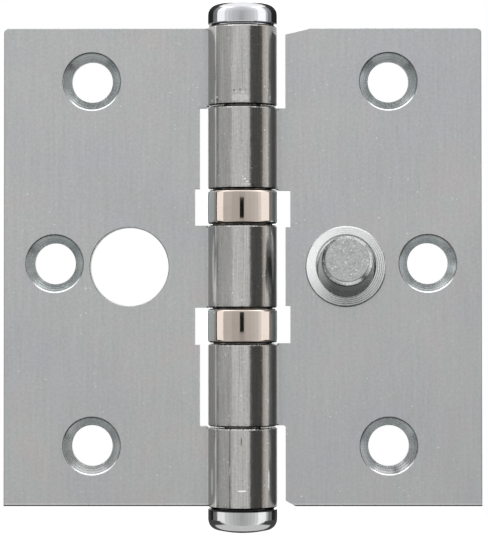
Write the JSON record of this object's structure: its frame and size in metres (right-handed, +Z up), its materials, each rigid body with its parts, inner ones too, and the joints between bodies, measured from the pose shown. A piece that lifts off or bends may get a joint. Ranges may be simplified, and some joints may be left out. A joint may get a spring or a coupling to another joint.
{
  "type": "ball bearing hinge",
  "caption": "Butt hinge with rolled knuckles, ball bearings between them, button-tipped pin, countersunk screw holes and a security stud with its hole.",
  "frame": {"origin": "on the pin's axis, half way up the hinge, with the leaves open flat", "axes": "+Z up along the pin; the fixed leaf lies towards -X and the swinging leaf towards +X; the countersunk faces and the stud look towards -Y and the leaves' backs towards +Y"},
  "size_m": [0.089, 0.013, 0.0984],
  "materials": {
    "leaf_zinc": "zinc plated, satin",
    "stud_zinc": "zinc plated, turned",
    "pin_steel": "ground",
    "cap_chrome": "polished",
    "shell_nickel": "polished nickel",
    "race_steel": "hardened and ground",
    "ball_steel": "polished"
  },
  "bodies": {
    "fixed_leaf": {"left_leaf": "leaf_zinc", "hinge_pin": "pin_steel", "top_cap": "cap_chrome", "bottom_cap": "cap_chrome", "upper_bearing_shell": "shell_nickel", "upper_bearing_bottom_race": "race_steel", "lower_bearing_shell": "shell_nickel", "lower_bearing_top_race": "race_steel"},
    "swinging_leaf": {"right_leaf": "leaf_zinc", "security_stud": "stud_zinc", "upper_bearing_top_race": "race_steel", "lower_bearing_bottom_race": "race_steel"},
    "upper_balls": {"upper_bearing_ball_01": "ball_steel", "upper_bearing_ball_02": "ball_steel", "upper_bearing_ball_03": "ball_steel", "upper_bearing_ball_04": "ball_steel", "upper_bearing_ball_05": "ball_steel", "upper_bearing_ball_06": "ball_steel", "upper_bearing_ball_07": "ball_steel", "upper_bearing_ball_08": "ball_steel", "upper_bearing_ball_09": "ball_steel", "upper_bearing_ball_10": "ball_steel", "upper_bearing_ball_11": "ball_steel", "upper_bearing_ball_12": "ball_steel"},
    "lower_balls": {"lower_bearing_ball_01": "ball_steel", "lower_bearing_ball_02": "ball_steel", "lower_bearing_ball_03": "ball_steel", "lower_bearing_ball_04": "ball_steel", "lower_bearing_ball_05": "ball_steel", "lower_bearing_ball_06": "ball_steel", "lower_bearing_ball_07": "ball_steel", "lower_bearing_ball_08": "ball_steel", "lower_bearing_ball_09": "ball_steel", "lower_bearing_ball_10": "ball_steel", "lower_bearing_ball_11": "ball_steel", "lower_bearing_ball_12": "ball_steel"}
  },
  "joints": [
    {"name": "leaf_swing", "type": "hinge", "parent": "fixed_leaf", "child": "swinging_leaf", "pos_m": [0, 0, 0], "axis": [0, 0, 1], "range_deg": [-180, 90]},
    {"name": "upper_ball_orbit", "type": "hinge", "parent": "fixed_leaf", "child": "upper_balls", "pos_m": [0, 0, 0], "axis": [0, 0, 1], "range_deg": [-90, 45]},
    {"name": "lower_ball_orbit", "type": "hinge", "parent": "fixed_leaf", "child": "lower_balls", "pos_m": [0, 0, 0], "axis": [0, 0, 1], "range_deg": [-90, 45]}
  ],
  "couplings": [
    {"joint": "upper_ball_orbit", "follows": "leaf_swing", "ratio": 0.5},
    {"joint": "lower_ball_orbit", "follows": "leaf_swing", "ratio": 0.5}
  ]
}
